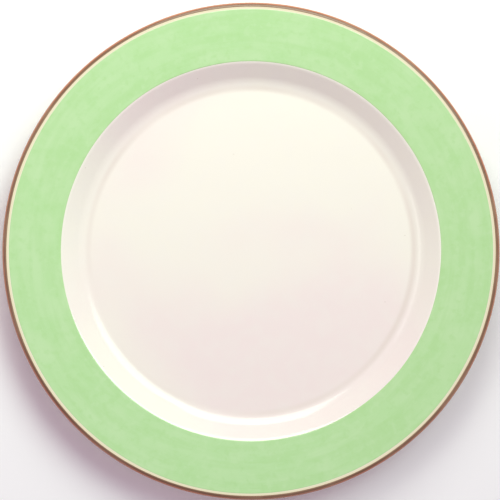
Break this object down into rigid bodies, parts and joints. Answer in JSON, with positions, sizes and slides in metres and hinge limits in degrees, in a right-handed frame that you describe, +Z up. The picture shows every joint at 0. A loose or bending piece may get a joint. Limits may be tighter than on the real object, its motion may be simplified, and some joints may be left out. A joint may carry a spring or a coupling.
{
  "type": "dinner plate",
  "caption": "Round china dinner plate with a flat well, a sloping verge, a wide rim with a mint-green band and a terracotta edge line, and a foot ring underneath.",
  "frame": {"origin": "centre of the foot ring's standing plane, on the plate's axis", "axes": "+Z points up along the plate's axis; the plate is round, so +X and +Y are any two level directions at a right angle"},
  "size_m": [0.27, 0.27, 0.021],
  "materials": {
    "china": "matte",
    "glaze": "gloss",
    "green_enamel": "gloss",
    "terracotta_enamel": "gloss"
  },
  "bodies": {
    "root": {"china_body": "china", "outer_glaze": "glaze", "recess_glaze": "glaze", "green_band": "green_enamel", "edge_line": "terracotta_enamel"}
  },
  "joints": []
}
